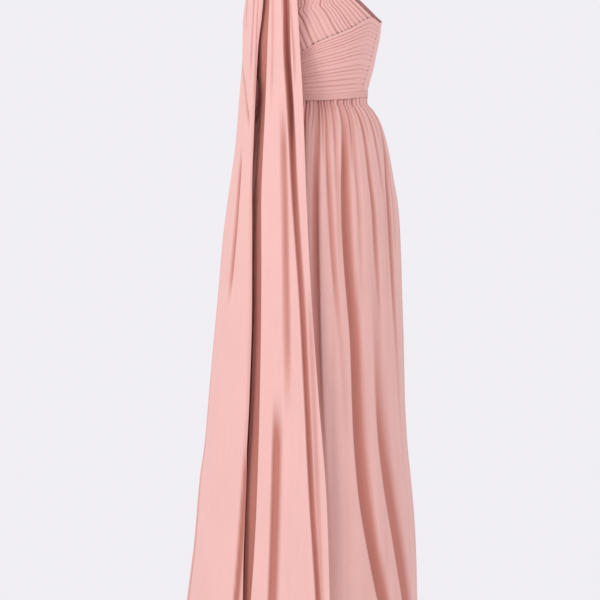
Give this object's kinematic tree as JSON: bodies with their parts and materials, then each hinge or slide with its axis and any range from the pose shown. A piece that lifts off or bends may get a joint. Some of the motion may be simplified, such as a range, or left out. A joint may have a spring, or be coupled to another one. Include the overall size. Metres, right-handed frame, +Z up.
{
  "type": "one-shoulder dress",
  "caption": "Full-length one-shoulder chiffon evening dress with a pleated bodice, gathered skirt and long shoulder drape, worn form, hollow.",
  "frame": {"origin": "the wearer's right shoulder, under the middle of the dress's one shoulder seam", "axes": "+Z up along the wearer's body, the dress's front faces -Y, +X to the wearer's left"},
  "size_m": [0.5012, 0.4514, 1.5071],
  "materials": {
    "bodice_chiffon": "soft matte chiffon, pleated",
    "waistband_chiffon": "soft matte chiffon, edge-stitched",
    "skirt_chiffon": "soft matte chiffon, gathered",
    "drape_chiffon": "soft matte chiffon, loose"
  },
  "bodies": {
    "root": {"bodice_front_upper": "bodice_chiffon", "bodice_front_wrap": "bodice_chiffon", "bodice_back": "bodice_chiffon", "waistband": "waistband_chiffon", "skirt_front": "skirt_chiffon", "skirt_back": "skirt_chiffon", "drape_front": "drape_chiffon", "drape_side": "drape_chiffon"}
  },
  "joints": []
}
